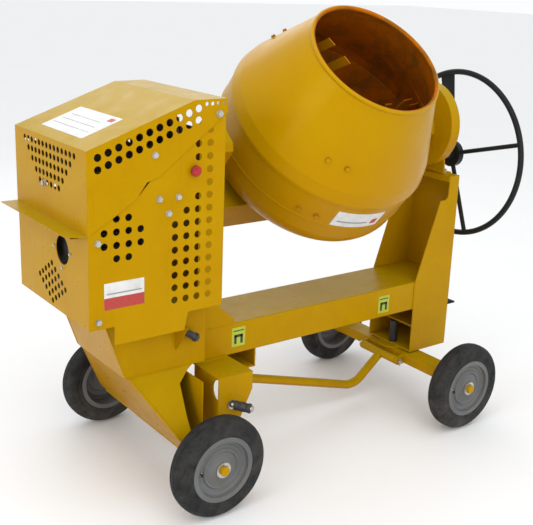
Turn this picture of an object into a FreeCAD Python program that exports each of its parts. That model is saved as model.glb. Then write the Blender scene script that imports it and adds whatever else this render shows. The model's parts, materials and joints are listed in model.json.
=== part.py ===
import FreeCAD, Part
import math
import os
import Sketcher

# Towable four-wheel concrete mixer. Millimetres. +Z is up, +X runs along the chassis from the
# engine end to the handwheel end, and Y = 0 is the plane of symmetry of the chassis. The origin
# is on the ground, at the centre of the footprint.

Vector = FreeCAD.Vector
Rotation = FreeCAD.Rotation
Placement = FreeCAD.Placement

doc = FreeCAD.newDocument("concrete_mixer")
sheet = doc.addObject("Spreadsheet::Sheet", "Sizes")

DRIVING_SIZES = {
    # layout datum to the centre of the footprint
    "datum_x": 24,
    # running gear
    "wheel_radius": 168, "tyre_width": 71, "wheel_track": 391.5, "axle_reach": 437.5,
    "axle_height": 168, "axle_radius": 15, "rear_axle_x": -523, "swivel_x": 608,
    "rim_radius": 110, "hub_half": 32, "hub_radius": 23, "axle_box_half": 335,
    # chassis
    "beam_half": 118, "beam_bottom": 397, "beam_top": 512, "plate": 5,
    "left_web": -436, "right_web": 784, "foot_inner": 585, "foot_bottom": 214,
    "pedestal_top": 929, "left_top": 1195, "base_half": 170, "base_bottom": 428,
    # canopy
    "sheet_metal": 2, "hood_half": 256, "hood_front": -893, "hood_back": -428,
    "hood_front_top": 1181, "ridge_x": -541, "ridge_z": 1306, "canopy_bottom": 649,
    "vent_radius": 11, "vent_pitch": 40, "grille_radius": 9, "hood_pivot_x": -456,
    "hood_pivot_z": 1262,
    # drum and cradle
    "drum_x": 171, "tilt_height": 1126, "drum_lean": 41.4, "belly_radius": 389,
    "seam_level": 51, "mouth_level": 379, "mouth_radius": 238, "bead_radius": 8,
    "drum_sheet": 3, "drum_floor": 216, "cradle_depth": 372, "cradle_half": 115,
    "arm_half": 80, "left_arm_x": -352, "arm_box": 84, "right_arm_x": 650,
    "trunnion_radius": 22, "shaft_radius": 18, "spindle_radius": 25,
    # tilting gear and handwheel
    "gear_x": 665, "gear_rim": 166, "gear_depth": 45, "gear_width": 24, "pinion_shaft": 15,
    "handwheel_x": 889, "handwheel_radius": 330, "handwheel_tube": 11.5,
    # running clearance between a shaft and its bore
    "running_fit": 0.06,
}


class Size:
    """A length with its spreadsheet expression beside its present value."""

    def __init__(self, text, value):
        self.text = text
        self.value = float(value)

    def __add__(self, other):
        other = as_size(other)
        return Size(f"({self.text} + {other.text})", self.value + other.value)

    def __radd__(self, other):
        return as_size(other) + self

    def __sub__(self, other):
        other = as_size(other)
        return Size(f"({self.text} - {other.text})", self.value - other.value)

    def __rsub__(self, other):
        return as_size(other) - self

    def __mul__(self, other):
        other = as_size(other)
        return Size(f"({self.text} * {other.text})", self.value * other.value)

    def __rmul__(self, other):
        return as_size(other) * self

    def __neg__(self):
        return 0 - self


def as_size(number):
    return number if isinstance(number, Size) else Size(f"({number:.6f})", number)


def value(number):
    return number.value if isinstance(number, Size) else float(number)


class Sizes:
    """Every driving size, by its name in the spreadsheet."""


dim = Sizes()
for row, (alias, number) in enumerate(DRIVING_SIZES.items(), start=1):
    sheet.set(f"A{row}", alias)
    sheet.set(f"B{row}", str(number))
    sheet.setAlias(f"B{row}", alias)
    setattr(dim, alias, Size(f"Sizes.{alias}", number))


class Frame:
    """A frame turned about the X axis at a height above the ground."""

    def __init__(self, height, lean):
        self.height = as_size(height)
        self.cosine = Size(f"cos({lean.text})", math.cos(math.radians(lean.value)))
        self.sine = Size(f"sin({lean.text})", math.sin(math.radians(lean.value)))
        self.rotation = Rotation(Vector(1, 0, 0), lean.value)

    def at(self, x, y, z):
        across = y * self.cosine - z * self.sine
        up = self.height + y * self.sine + z * self.cosine
        return (x + dim.datum_x, across, up)


class Ground:
    """The frame of the whole machine."""

    rotation = Rotation()

    @staticmethod
    def at(x, y, z):
        return (x + dim.datum_x, y, z)


GROUND = Ground()
CRADLE = Frame(dim.tilt_height, dim.drum_lean)

ALONG = {
    "x": Rotation(Vector(0, 1, 0), 90),
    "y": Rotation(Vector(1, 0, 0), -90),
    "z": Rotation(),
}
nodes = []


def bind(thing, prop, size):
    """Give a property its value, and its expression when it comes from the sheet."""
    if isinstance(size, Size):
        thing.setExpression(prop, size.text)
    else:
        setattr(thing, prop, size)


def place(thing, base, turn=Rotation(), frame=GROUND):
    spot = frame.at(*base)
    thing.Placement = Placement(Vector(*[value(c) for c in spot]), frame.rotation * turn)
    for letter, coordinate in zip("xyz", spot):
        if isinstance(coordinate, Size):
            thing.setExpression(f"Placement.Base.{letter}", coordinate.text)
    return thing


def block(name, low, size, frame=GROUND, turn=Rotation()):
    box = doc.addObject("Part::Box", name)
    for prop, length in zip(("Length", "Width", "Height"), size):
        bind(box, prop, length)
    return place(box, low, turn, frame)


def rod(name, radius, start, length, axis="z", frame=GROUND):
    cylinder = doc.addObject("Part::Cylinder", name)
    bind(cylinder, "Radius", radius)
    bind(cylinder, "Height", length)
    return place(cylinder, start, ALONG[axis], frame)


def hoop(name, radius, tube, centre, turn=Rotation(), frame=GROUND):
    torus = doc.addObject("Part::Torus", name)
    bind(torus, "Radius1", radius)
    bind(torus, "Radius2", tube)
    return place(torus, centre, turn, frame)


def strut(name, radius, start, end):
    """A round bar from one point to another."""
    run = Vector(*[value(c) for c in end]) - Vector(*[value(c) for c in start])
    bar = doc.addObject("Part::Cylinder", name)
    bind(bar, "Radius", radius)
    bar.Height = run.Length
    return place(bar, start, Rotation(Vector(0, 0, 1), run))


def mirrored(name, thing):
    """The same piece on the other side of the machine."""
    twin = doc.addObject("Part::Mirroring", name)
    twin.Source = thing
    twin.Base = Vector(0, 0, 0)
    twin.Normal = Vector(0, 1, 0)
    return twin


def fuse(name, parts):
    joined = doc.addObject("Part::MultiFuse", name)
    joined.Shapes = list(parts)
    joined.Refine = True
    return joined


def cut(name, base, tools):
    result = doc.addObject("Part::Cut", name)
    result.Base = base
    result.Tool = tools[0] if len(tools) == 1 else fuse(name + "_tools", tools)
    return result


def group(name, parts):
    compound = doc.addObject("Part::Compound", name)
    compound.Links = list(parts)
    return compound


def sleeve(name, outer, inner, start, length, axis="z", frame=GROUND):
    body = rod(name + "_outer", outer, start, length, axis, frame)
    bore = rod(name + "_bore", inner, start, length, axis, frame)
    return cut(name, body, [bore])


def node(thing, name):
    """Name a finished sub-part and list it for export."""
    thing.Label = name
    nodes.append(thing)
    return thing


def origin_plane(body, role):
    return next(item for item in body.Origin.OriginFeatures if item.Role == role)


def arc_through(start, middle, end):
    """The arc through three points of a sketch, always drawn anticlockwise."""
    turn = (middle - start).cross(end - middle).z
    return Part.Arc(start, middle, end) if turn > 0 else Part.Arc(end, middle, start)


def draw_outline(sketch, points):
    """Closed outline. A point is (u, v), or (u, v, (mu, mv)) for an arc that ends there."""
    spots = [Vector(value(p[0]), value(p[1]), 0) for p in points]
    count = len(points)
    ends = []
    for index in range(count):
        after = points[(index + 1) % count]
        start, end = spots[index], spots[(index + 1) % count]
        if len(after) == 3:
            middle = Vector(value(after[2][0]), value(after[2][1]), 0)
            sketch.addGeometry(arc_through(start, middle, end), False)
        else:
            sketch.addGeometry(Part.LineSegment(start, end), False)
        forward = sketch.Geometry[index].StartPoint.distanceToPoint(start) < 1e-6
        ends.append((1, 2) if forward else (2, 1))
    rules = []
    driven = []
    for index in range(count):
        after = (index + 1) % count
        rules.append(
            Sketcher.Constraint("Coincident", index, ends[index][1], after, ends[after][0])
        )
        if len(points[after]) == 3:
            rules.append(Sketcher.Constraint("Radius", index, sketch.Geometry[index].Radius))
        for kind, coordinate in zip(("DistanceX", "DistanceY"), points[index]):
            if isinstance(coordinate, Size):
                driven.append((len(rules), coordinate.text))
            rules.append(
                Sketcher.Constraint(kind, -1, 1, index, ends[index][0], value(coordinate))
            )
    first = sketch.ConstraintCount
    sketch.addConstraint(rules)
    for offset, text in driven:
        sketch.setExpression(f"Constraints[{first + offset}]", text)


def draw_circle(sketch, u, v, radius):
    circle = sketch.addGeometry(
        Part.Circle(Vector(value(u), value(v), 0), Vector(0, 0, 1), value(radius)), False
    )
    pin = sketch.addConstraint(Sketcher.Constraint("Radius", circle, value(radius)))
    if isinstance(radius, Size):
        sketch.setExpression(f"Constraints[{pin}]", radius.text)


def sketch_body(name, plane, points, holes=()):
    body = doc.addObject("PartDesign::Body", name)
    sketch = body.newObject("Sketcher::SketchObject", name + "_sketch")
    sketch.AttachmentSupport = [(origin_plane(body, plane), "")]
    sketch.MapMode = "FlatFace"
    draw_outline(sketch, points)
    for hole in holes:
        draw_circle(sketch, *hole)
    return body, sketch


def rounded(low, high, radius):
    """A rectangle with round corners."""
    bite = radius * (1 - math.sqrt(0.5))
    (u0, v0), (u1, v1) = low, high
    return [
        (u0 + radius, v0, (u0 + bite, v0 + bite)),
        (u1 - radius, v0),
        (u1, v0 + radius, (u1 - bite, v0 + bite)),
        (u1, v1 - radius),
        (u1 - radius, v1, (u1 - bite, v1 - bite)),
        (u0 + radius, v1),
        (u0, v1 - radius, (u0 + bite, v1 - bite)),
        (u0, v0 + radius),
    ]


def loop_outline(low, low_radius, high, high_radius):
    """The outline of a belt round two wheels, the second straight above the first."""
    lean = math.asin((high_radius - low_radius) / (high - low))
    side, rise = math.cos(lean), -math.sin(lean)
    return [
        (-low_radius * side, low + low_radius * rise),
        (low_radius * side, low + low_radius * rise, (0, low - low_radius)),
        (high_radius * side, high + high_radius * rise),
        (-high_radius * side, high + high_radius * rise, (0, high + high_radius)),
    ]


def slab(name, plane, points, thickness, offset, holes=(), frame=GROUND):
    """A plate: an outline on a plane, made thicker towards +X, +Y or +Z from the offset."""
    body, sketch = sketch_body(name, plane + "_Plane", points, holes)
    pad = body.newObject("PartDesign::Pad", name + "_pad")
    pad.Profile = sketch
    bind(pad, "Length", thickness)
    pad.Reversed = plane == "XZ"
    spot = {"XY": (0, 0, offset), "XZ": (0, offset, 0), "YZ": (offset, 0, 0)}[plane]
    return place(body, spot, frame=frame)


def belt(name, low, low_radius, high, high_radius, depth, start, width, frame=GROUND):
    """A loop of belt or chain whose inner face lies on the two radii."""
    outside = loop_outline(low, low_radius + depth, high, high_radius + depth)
    inside = loop_outline(low, low_radius, high, high_radius)
    outer = slab(name + "_outer", "YZ", outside, width, start, frame=frame)
    inner = slab(name + "_inner", "YZ", inside, width, start, frame=frame)
    return cut(name, outer, [inner])


def turned(name, points, base, axis="z", frame=GROUND):
    """A turned piece: an outline of (radius, height) points about its axis."""
    body, sketch = sketch_body(name, "XZ_Plane", points)
    turn = body.newObject("PartDesign::Revolution", name + "_turn")
    turn.Profile = sketch
    turn.ReferenceAxis = (sketch, ["V_Axis"])
    turn.Angle = 360
    return place(body, base, ALONG[axis], frame)


def hex_bolt(name, radius, start, outward, frame=GROUND):
    """A hexagonal bolt head standing outward on a washer, from the face it clamps."""
    washer = doc.addObject("Part::Cylinder", name + "_washer")
    washer.Radius = radius * 1.15
    washer.Height = radius * 0.2
    head = doc.addObject("Part::Prism", name + "_head")
    head.Polygon = 6
    head.Circumradius = radius
    head.Height = radius * 0.95
    turn = Rotation(Vector(0, 0, 1), Vector(*outward))
    for piece in (washer, head):
        place(piece, start, turn, frame)
    return fuse(name, [washer, head])


# ---- chassis ----

beam_half = dim.beam_half
tube = slab(
    "beam_tube", "YZ",
    rounded((-beam_half, dim.beam_bottom), (beam_half, dim.beam_top), 5),
    dim.right_web - dim.plate - dim.left_web - dim.plate, dim.left_web + dim.plate,
)
tube_hollow = block(
    "beam_hollow",
    (dim.left_web, dim.plate - beam_half, dim.beam_bottom + dim.plate),
    (dim.right_web - dim.left_web, 2 * (beam_half - dim.plate),
     dim.beam_top - dim.beam_bottom - 2 * dim.plate),
)
node(cut("main_beam_cut", tube, [tube_hollow]), "main_beam")

left_web = slab(
    "left_web", "YZ",
    [(-beam_half, dim.beam_bottom), (beam_half, dim.beam_bottom), (beam_half, dim.left_top),
     (-beam_half, dim.left_top)],
    dim.plate, dim.left_web, holes=[(0, dim.tilt_height, 34)],
)
left_flange_outline = [
    (-431, dim.beam_top), (-280, dim.beam_top), (-289, 530), (-356, 591), (-372, 620),
    (-372, dim.left_top), (-431, dim.left_top),
]
left_flanges = [
    slab(f"left_flange_{side}", "XZ", left_flange_outline, dim.plate, offset)
    for side, offset in (("near", -beam_half), ("far", beam_half - dim.plate))
]
node(group("left_pedestal_plates", [left_web] + left_flanges), "left_pedestal")

flange_sheet = 4.5
flange_half = beam_half + flange_sheet
right_web = slab(
    "right_web", "YZ",
    [(-flange_half, dim.foot_bottom), (flange_half, dim.foot_bottom),
     (flange_half, dim.pedestal_top), (-flange_half, dim.pedestal_top)],
    dim.plate, dim.right_web - dim.plate,
)
right_flange_outline = [
    (dim.foot_inner, dim.foot_bottom), (779, dim.foot_bottom), (779, dim.pedestal_top),
    (731, dim.pedestal_top), (731, 858), (706, 834, (725, 841)), (689, 834), (dim.foot_inner, 514),
]
right_flanges = [
    slab(f"right_flange_{side}", "XZ", right_flange_outline, flange_sheet, offset)
    for side, offset in (("near", -flange_half), ("far", beam_half))
]
foot_floor = slab(
    "foot_floor", "XY",
    [(dim.foot_inner, -beam_half), (779, -beam_half), (779, beam_half),
     (dim.foot_inner, beam_half)],
    dim.plate, dim.foot_bottom, holes=[(dim.swivel_x, 0, 17 + dim.running_fit)],
)
foot_shelf = block("foot_shelf", (607, -beam_half, 312), (172, 2 * beam_half, dim.plate))
pedestal_cap = block(
    "pedestal_cap", (729, -beam_half, dim.pedestal_top - dim.plate),
    (50, 2 * beam_half, dim.plate),
)
pedestal_lip = block("pedestal_lip", (729, -beam_half, 905), (4, 2 * beam_half, 20))
pedal_pivot = (812, 352)
pedal_lugs = [
    slab(
        f"pedal_lug_{side}", "XZ",
        [(784, 330), (812, 336), (826, 352, (822, 341)), (812, 366, (822, 362)), (784, 374)],
        dim.plate, offset, holes=[(*pedal_pivot, 6 + dim.running_fit)],
    )
    for side, offset in (("near", -66), ("far", 1))
]
node(
    fuse(
        "right_pedestal_fuse",
        [right_web, foot_floor, foot_shelf, pedestal_cap, pedestal_lip]
        + right_flanges + pedal_lugs,
    ),
    "right_pedestal",
)

pinion_height = dim.tilt_height - 136.5
bracket_plate = slab(
    "bracket_plate", "YZ",
    [(-80, dim.pedestal_top), (80, dim.pedestal_top), (80, 960), (55, 1150),
     (30, 1185, (46, 1177)), (-30, 1185), (-55, 1150, (-46, 1177)), (-80, 960)],
    6, 735, holes=[(0, dim.tilt_height, 25), (0, pinion_height, 18)],
)
bracket_foot = block("bracket_foot", (741, -80, dim.pedestal_top), (40, 160, 6))
node(fuse("bearing_plate_fuse", [bracket_plate, bracket_foot]), "bearing_plate")


def flanged_bearing(name, bore, flange, boss, height, depth, start, axis="x", frame=GROUND):
    """A turned bearing housing that stands on its flange."""
    outline = [
        (bore, 0), (flange, 0), (flange, height), (boss + 3, height), (boss, height + 3),
        (boss, depth - 2), (boss - 2, depth), (bore, depth),
    ]
    return turned(name, outline, start, axis, frame)


node(
    flanged_bearing(
        "trunnion_housing", dim.trunnion_radius + dim.running_fit, 54, 38, 9, 27,
        (741, 0, dim.tilt_height),
    ),
    "right_trunnion_bearing",
)
node(
    flanged_bearing(
        "pinion_housing", dim.pinion_shaft + dim.running_fit, 34, 25, 8, 34,
        (741, 0, pinion_height),
    ),
    "pinion_bearing",
)
node(
    flanged_bearing(
        "hollow_trunnion_housing", 30 + dim.running_fit, 62, 46, 10, 31,
        (dim.left_web + dim.plate, 0, dim.tilt_height),
    ),
    "left_trunnion_bearing",
)

base_half = dim.base_half
base_skin = 4
base_inner = base_half - base_skin
base_side = slab(
    "base_side", "XZ",
    [(-732, dim.base_bottom), (dim.left_web, dim.base_bottom),
     (dim.left_web, dim.canopy_bottom), (-809, dim.canopy_bottom)],
    base_skin, -base_half,
)
base_floor = slab(
    "base_floor", "XZ",
    [(-732, dim.base_bottom), (dim.left_web, dim.base_bottom), (dim.left_web, 432), (-728, 432)],
    2 * base_inner, -base_inner,
)
base_front = slab(
    "base_front", "XZ",
    [(-732, dim.base_bottom), (-728, 432), (-804, 645), (-809, dim.canopy_bottom)],
    2 * base_inner, -base_inner,
)
base_deck = slab(
    "base_deck", "XZ",
    [(-804, 645), (dim.left_web, 645), (dim.left_web, dim.canopy_bottom),
     (-809, dim.canopy_bottom)],
    2 * base_inner, -base_inner,
)
gusset = slab(
    "base_gusset", "YZ", [(-base_half, 590), (-base_half, 490), (-246, 590)], dim.plate, -550
)
node(
    group(
        "engine_base_plates",
        [base_side, mirrored("base_side_far", base_side), base_floor, base_front, base_deck,
         gusset, mirrored("base_gusset_far", gusset)],
    ),
    "engine_base",
)

# The rear axle hangs from the engine base on a leaning front plate, two side wings and a wall
# that stands on the axle.
slope_x, slope_y, plate_drop = 0.6, 0.63, 266
front_run = math.hypot(slope_x, 1)
wing_run = math.hypot(slope_y, 1)


def wing_spot(x, drop):
    return (x, drop * wing_run)


carrier_front = slab(
    "carrier_front", "XY",
    [(0, -170), (plate_drop * front_run, -338), (plate_drop * front_run, 338), (0, 170)],
    dim.plate, 0,
)
place(
    carrier_front, (-720, 0, dim.base_bottom),
    Rotation(Vector(0, 1, 0), math.degrees(math.atan2(1, slope_x))),
)
carrier_wing = slab(
    "carrier_wing", "XY",
    [wing_spot(-720, 0), wing_spot(-482, 0), wing_spot(-510, 15), wing_spot(-549, 46),
     wing_spot(-556, 136), wing_spot(-556, plate_drop), wing_spot(-560.4, plate_drop)],
    dim.plate, 0,
)
place(
    carrier_wing, (0, -170, dim.base_bottom),
    Rotation(Vector(1, 0, 0), 180 + math.degrees(math.atan2(1, slope_y))),
)
carrier_seat = block("carrier_seat", (-558, -330, 163), (10, 660, 28))
axle_top = dim.axle_height + 25
carrier_wall = slab(
    "carrier_wall", "YZ",
    [(-264, axle_top), (264, axle_top), (264, 400), (158, 400), (158, dim.base_bottom),
     (-158, dim.base_bottom), (-158, 400), (-264, 400)],
    4, -504,
)
above_carrier = block("above_carrier", (-760, -400, dim.base_bottom), (400, 800, 60))
carrier_shell = cut(
    "carrier_trim",
    fuse(
        "carrier_fuse",
        [carrier_front, carrier_wing, mirrored("carrier_wing_far", carrier_wing), carrier_seat],
    ),
    [above_carrier],
)
node(group("carrier_plates", [carrier_shell, carrier_wall]), "rear_axle_carrier")

axle_box_half = dim.axle_box_half
rear_box = block(
    "rear_axle_box", (dim.rear_axle_x - 25, -axle_box_half, dim.axle_height - 25),
    (50, 2 * axle_box_half, 50),
)
rear_hollow = block(
    "rear_axle_hollow", (dim.rear_axle_x - 20, -300, dim.axle_height - 20), (40, 600, 40)
)


def axle_ends(name, x):
    """Both stub ends of an axle, each with a collar and a hole for its split pin."""
    pieces = []
    holes = []
    for side, label in ((-1, "near"), (1, "far")):
        low = 300 if side > 0 else -dim.axle_reach
        pieces.append(
            rod(f"{name}_stub_{label}", dim.axle_radius, (x, low, dim.axle_height),
                dim.axle_reach - 300, "y")
        )
        collar = 335 if side > 0 else -359
        pieces.append(
            rod(f"{name}_collar_{label}", 24, (x, collar, dim.axle_height), 24, "y")
        )
        holes.append(
            rod(f"{name}_pin_hole_{label}", 2.3, (x, side * 431, dim.axle_height - 20), 40)
        )
    return pieces, holes


stubs, pin_holes = axle_ends("rear", dim.rear_axle_x)
node(
    cut(
        "rear_axle_cut",
        fuse("rear_axle_fuse", [cut("rear_axle_tube", rear_box, [rear_hollow])] + stubs),
        pin_holes,
    ),
    "rear_axle",
)


def wheel_retainers(name, x):
    """Washers and split pins that hold two wheels on one axle."""
    pieces = []
    for side, label in ((-1, "near"), (1, "far")):
        washer_low = 424 if side > 0 else -427
        pieces.append(
            sleeve(f"{name}_washer_{label}", 26, 15.3, (x, washer_low, dim.axle_height), 3, "y")
        )
        leg = rod(f"{name}_leg_{label}", 2.2, (x, side * 431, dim.axle_height - 22), 41)
        eye = hoop(
            f"{name}_eye_{label}", 5, 1.8, (x, side * 431, dim.axle_height + 24),
            Rotation(Vector(0, 1, 0), 90),
        )
        pieces.append(fuse(f"{name}_pin_{label}", [leg, eye]))
    return group(name, pieces)


node(wheel_retainers("rear_retainers", dim.rear_axle_x), "rear_wheel_retainers")

bracket_top = block("bracket_top", (-443, -268, 393), (135, 168, 4))
bracket_top_trim = block("bracket_top_trim", (-320, -118, 390), (20, 30, 10))
bracket_face = slab(
    "bracket_face", "XZ",
    [(-443, 397), (-308, 397), (-308, 333), (-335, 277), (-380, 180), (-380, 150), (-498, 150),
     (-498, 190), (-443, 200)],
    4, -268,
)
bracket_panel = slab(
    "bracket_panel", "YZ",
    [(-264, 190), (-118, 190), (-118, 393), (-264, 393), (-264, 317, (-232, 355))], 4, -443,
)
handle_base = (-393, -268, 297)
near_bracket = fuse(
    "near_bracket_fuse",
    [cut("bracket_top_cut", bracket_top, [bracket_top_trim]), bracket_face, bracket_panel],
)
node(near_bracket, "side_bracket_near")
node(mirrored("far_bracket", near_bracket), "side_bracket_far")

grip_turn = Rotation(Vector(0, 0, 1), Vector(0.5, -math.sqrt(0.75), 0))


def handle_spot(reach):
    """A place on the centre line of the starting handle."""
    return (-393 + reach * 0.5, -270.1 - reach * math.sqrt(0.75), 297)


handle_rod = rod("handle_rod", 7, handle_base, 70.5)
place(handle_rod, handle_spot(2.2), grip_turn)
handle_knob = rod("handle_knob", 11, handle_base, 5)
place(handle_knob, handle_spot(72.7), grip_turn)
handle_foot = rod("handle_foot", 16, (-392, -274, 297), 6, "y")
node(fuse("starting_handle_fuse", [handle_rod, handle_knob, handle_foot]), "starting_handle")
grip = turned(
    "grip_turned",
    [(7 + dim.running_fit, 0), (15, 0), (17, 3), (15, 14), (17, 28), (15, 42), (17, 54),
     (13, 58), (7 + dim.running_fit, 58)],
    handle_base,
)
place(grip, handle_spot(14), grip_turn)
node(grip, "handle_grip")

pocket_outer = block("pocket_outer", (-316, -118, 330), (127, 236, 67))
pocket_inner = block("pocket_inner", (-311, -118, 335), (117, 236, 62))
node(cut("fork_pocket_cut", pocket_outer, [pocket_inner]), "fork_pocket")

# ---- canopy ----

metal = dim.sheet_metal
hood_half = dim.hood_half
casing_half = hood_half - metal - 0.5
side_rows = [
    (-484, range(0, 14)), (-525, [1, 2] + list(range(5, 14))), (-565, range(6, 14)),
    (-605, range(7, 14)),
]
side_vents = [
    (x, 1216 - number * dim.vent_pitch, dim.vent_radius) for x, rows in side_rows for number in rows
]
side_vents += [(-840 + 39.5 * column, z, dim.vent_radius) for z in (939, 899) for column in range(4)]
side_vents += [(-840 + 39.5 * column, z, dim.vent_radius) for z in (978, 859) for column in (1, 2)]
knob_spot = (-542, 1097)
casing_outline = [
    (-891, dim.canopy_bottom), (-430, dim.canopy_bottom), (-430, 1285), (-480, 1285),
    (-560, 1195), (-660, 1110), (-725, 1040), (-891, 950),
]
casing_near = slab(
    "casing_near", "XZ", casing_outline, metal, -casing_half,
    holes=side_vents + [(*knob_spot, 6.06), (dim.hood_pivot_x, dim.hood_pivot_z, 6.03)],
)
skirt = slab(
    "skirt", "XZ", [(-809, 590), (-568, 590), (-555, 649), (-809, 649)], metal, -casing_half
)
casing_side = fuse("casing_side", [casing_near, skirt])
casing_inner = casing_half - metal
casing_lip = block("casing_lip", (-432, -casing_inner, 653), (2, 16, 560))
diamond = [
    (3 + 23.75 * (i - j), 730 + 15.25 * (i + j - 4), dim.grille_radius)
    for i in range(5) for j in range(5)
]
casing_front = slab(
    "casing_front", "YZ",
    [(-casing_inner, dim.canopy_bottom), (casing_inner, dim.canopy_bottom), (casing_inner, 950),
     (-casing_inner, 950)],
    metal, -890.7, holes=diamond + [(-78, 853, 45)],
)
casing_ledge = block("casing_ledge", (-913, -190, 916), (22.3, 440, 2))
casing_floor = block(
    "casing_floor", (-888.7, -casing_inner, dim.canopy_bottom), (451.7, 2 * casing_inner, metal)
)
node(
    group(
        "casing_plates",
        [casing_side, mirrored("casing_side_far", casing_side), casing_lip,
         mirrored("casing_lip_far", casing_lip), casing_front, casing_ledge, casing_floor],
    ),
    "lower_canopy",
)

front_fold = (dim.hood_front, dim.hood_front_top)
front_fold_inner = (dim.hood_front + metal, dim.hood_front_top - 1.4)
ridge = (dim.ridge_x, dim.ridge_z)
ridge_inner = (dim.ridge_x + 0.4, dim.ridge_z - metal)
hood_back = (dim.hood_back, dim.ridge_z + 1)
hood_back_inner = (dim.hood_back, dim.ridge_z - 1)
hood_front = slab(
    "hood_front", "XZ",
    [(dim.hood_front, 937), front_fold, front_fold_inner, (dim.hood_front + metal, 937)],
    2 * hood_half, -hood_half,
)
hood_slope = slab(
    "hood_slope", "XZ", [front_fold, ridge, ridge_inner, front_fold_inner],
    2 * hood_half, -hood_half,
)
hood_top = slab(
    "hood_top", "XZ", [ridge, hood_back, hood_back_inner, ridge_inner], 2 * hood_half, -hood_half,
)
grille_rows = [(1155, 14), (1127, 12), (1098, 10), (1068, 8), (1040, 6)]
grille_punches = [
    rod(f"grille_punch_{z}_{column}", dim.grille_radius + 0.5,
        (dim.hood_front - 5, 27.3 * (column - (count - 1) / 2), z), 12, "x")
    for z, count in grille_rows for column in range(count)
]
hood_side_outline = [
    (dim.hood_front + metal, 937), (-798, 990), (-736, 1030), (-702, 1075), (-661, 1088),
    (-542, 1177), (-426, 1264), (dim.hood_back + 2, dim.ridge_z - 1), hood_back_inner, ridge_inner,
    front_fold_inner,
]
slope_vents = [
    (-858 + 33 * number, z + 12 * number, dim.vent_radius + 0.5)
    for number in range(11) for z in (1161, 1126)
]
top_vents = [(-500 + 20.3 * number, 1293, 6) for number in range(4)]
hood_side = slab(
    "hood_side", "XZ", hood_side_outline, metal, -hood_half,
    holes=slope_vents + top_vents + [(dim.hood_pivot_x, dim.hood_pivot_z, 6.06)],
)
hood_lip = slab(
    "hood_lip", "XY",
    [(dim.hood_front + metal, -hood_half), (dim.hood_front, -hood_half), (-948.5, -224),
     (-948.5, hood_half), (dim.hood_front + metal, hood_half)],
    metal, 935,
)
node(
    group(
        "hood_plates",
        [cut("hood_front_punched", hood_front, grille_punches), hood_slope, hood_top, hood_side,
         mirrored("hood_side_far", hood_side), hood_lip],
    ),
    "hood",
)
hood_bolts = [
    hex_bolt("hood_bolt_near", 9, (-676, -hood_half, 1154), (0, -1, 0)),
    hex_bolt("hood_bolt_far", 9, (-676, hood_half, 1154), (0, 1, 0)),
    hex_bolt("hood_bolt_front", 9, (dim.hood_front, 36, 1037), (-1, 0, 0)),
]
node(group("hood_bolt_group", hood_bolts), "hood_bolts")

bolts = []
for side, label in ((-1, "near"), (1, "far")):
    outward = (0, side, 0)
    for number, (x, z) in enumerate([(-660, 1021), (-595, 1021), (-628, 974), (-861, 912),
                                     (-862, 673)]):
        bolts.append(hex_bolt(f"casing_bolt_{label}_{number}", 9, (x, side * casing_half, z), outward))
    shank_low = -hood_half - 0.4 if side < 0 else hood_half - 12
    shank = rod(
        f"hinge_shank_{label}", 6, (dim.hood_pivot_x, shank_low, dim.hood_pivot_z), 12.4, "y"
    )
    head = hex_bolt(
        f"hinge_head_{label}", 10,
        (dim.hood_pivot_x, side * (hood_half + 0.4), dim.hood_pivot_z), outward,
    )
    bolts.append(fuse(f"hinge_bolt_{label}", [shank, head]))
for number, (y, z) in enumerate([(-78, 909), (-78, 797), (-134, 853), (-22, 853)]):
    bolts.append(hex_bolt(f"port_bolt_{number}", 5, (-890.7, y, z), (-1, 0, 0)))
for y in (-60, 60):
    bolts.append(hex_bolt(f"bracket_bolt_{y + 60}", 10, (762, y, dim.pedestal_top + 6), (0, 0, 1)))
for number, turn in enumerate((45, 135, 225, 315)):
    y = 47.5 * math.cos(math.radians(turn))
    z = 47.5 * math.sin(math.radians(turn))
    bolts.append(hex_bolt(f"bearing_bolt_{number}", 5.5, (750, y, dim.tilt_height + z), (1, 0, 0)))
node(group("chassis_bolt_group", bolts), "chassis_bolts")

knob_stem = rod("knob_stem", 6, (knob_spot[0], -264, knob_spot[1]), 28, "y")
knob_cap = turned(
    "knob_cap", [(0, 0), (12, 0), (17, 3), (17, 9), (13, 13), (0, 14)],
    (knob_spot[0], -262, knob_spot[1]),
)
place(knob_cap, (knob_spot[0], -262, knob_spot[1]), Rotation(Vector(1, 0, 0), 90))
node(fuse("stop_knob_fuse", [knob_stem, knob_cap]), "stop_knob")

# ---- engine and belt drive ----

crank_height = 780
crankcase = block("crankcase", (-800, -110, dim.canopy_bottom + 2), (200, 220, 199))
cylinder = block("cylinder", (-750, -60, 850), (100, 120, 190))
fins = [
    block(f"fin_{number}", (-770, -80, 862 + 18 * number), (140, 160, 6)) for number in range(10)
]
fan_housing = rod("fan_housing", 125, (-862, 0, crank_height), 62, "x")
crank_bore = rod("crank_bore", 14.06, (-630, 0, crank_height), 40, "x")
air_cleaner = rod("air_cleaner", 42, (-700, 80, 930), 90, "y")
node(
    cut(
        "engine_cut",
        fuse("engine_fuse", [crankcase, cylinder, fan_housing, air_cleaner] + fins), [crank_bore],
    ),
    "engine_block",
)
tank_body = slab(
    "tank_body", "XZ", rounded((-838, 1075), (-645, 1165), 25), 200, -60,
)
tank_cap = rod("tank_cap", 24, (-700, 60, 1165), 12)
tank_legs = [block(f"tank_leg_{x + 760}", (x, -20, 1030), (12, 60, 50)) for x in (-760, -670)]
tank_clear = block("tank_clear", (-770, -80, 1020), (140, 160, 20))
node(
    cut("tank_cut", fuse("tank_fuse", [tank_body, tank_cap] + tank_legs), [tank_clear]),
    "fuel_tank",
)
silencer_can = rod("silencer_can", 34, (-700, -170, 870), 160)
silencer_pipe = rod("silencer_pipe", 12, (-700, -150, 957), 70, "y")
silencer_tail = rod("silencer_tail", 11, (-700, -170, 1030), 20)
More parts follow.
